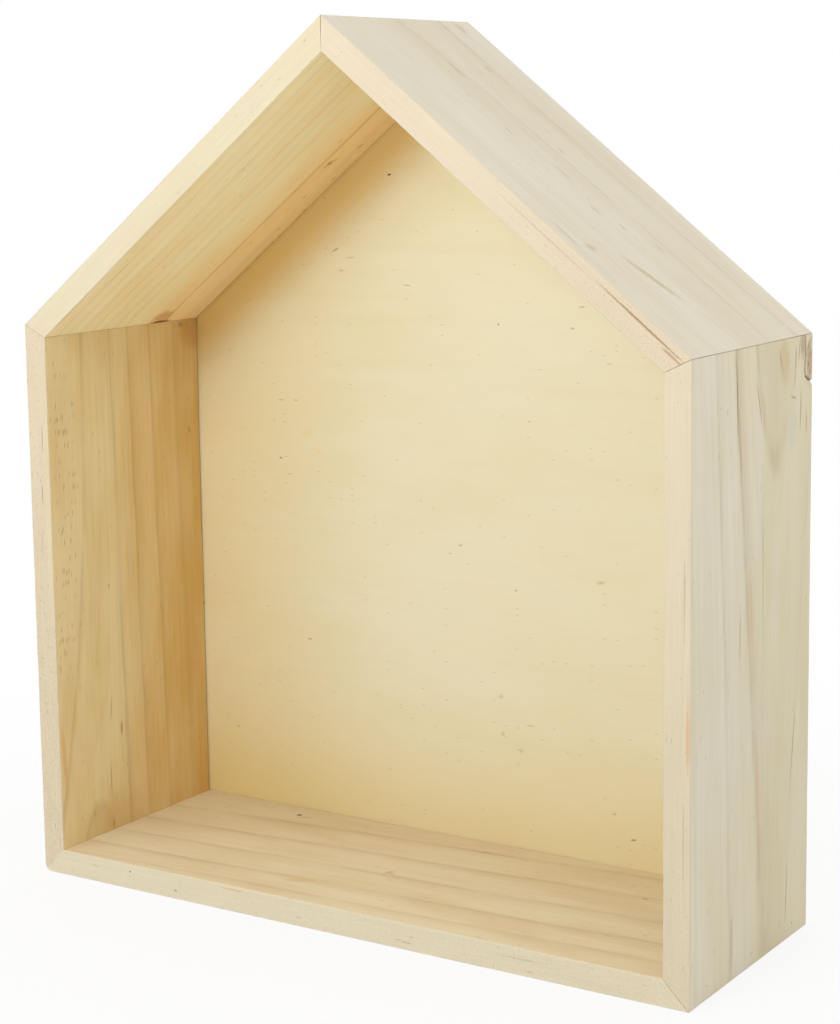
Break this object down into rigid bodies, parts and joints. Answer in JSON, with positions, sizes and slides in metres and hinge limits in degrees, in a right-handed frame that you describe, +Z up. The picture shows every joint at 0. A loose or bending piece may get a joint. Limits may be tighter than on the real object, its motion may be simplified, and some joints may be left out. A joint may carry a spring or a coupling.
{
  "type": "house-shaped wall shelf",
  "caption": "Open-fronted box shelf in the outline of a small house, of mitred pine boards with a plywood back and a toothed hanger.",
  "frame": {"origin": "middle of the base, on the face that the shelf stands on", "axes": "+X to the right as the open front is seen, +Y from the open front to the wall, +Z up to the ridge"},
  "size_m": [0.26, 0.0906, 0.3011],
  "materials": {
    "pine": "planed and sanded, bare",
    "plywood": "sanded, bare",
    "pin_steel": "bright wire",
    "wood_filler": "sanded",
    "staple_steel": "galvanised wire",
    "hanger_steel": "zinc plated",
    "nail_steel": "zinc plated"
  },
  "bodies": {
    "root": {"bottom_board": "pine", "left_side_board": "pine", "right_side_board": "pine", "left_roof_board": "pine", "right_roof_board": "pine", "back_panel": "plywood", "mitre_pins": "pin_steel", "pin_fillers": "wood_filler", "panel_staples": "staple_steel", "toothed_hanger": "hanger_steel", "hanger_nails": "nail_steel"}
  },
  "joints": []
}
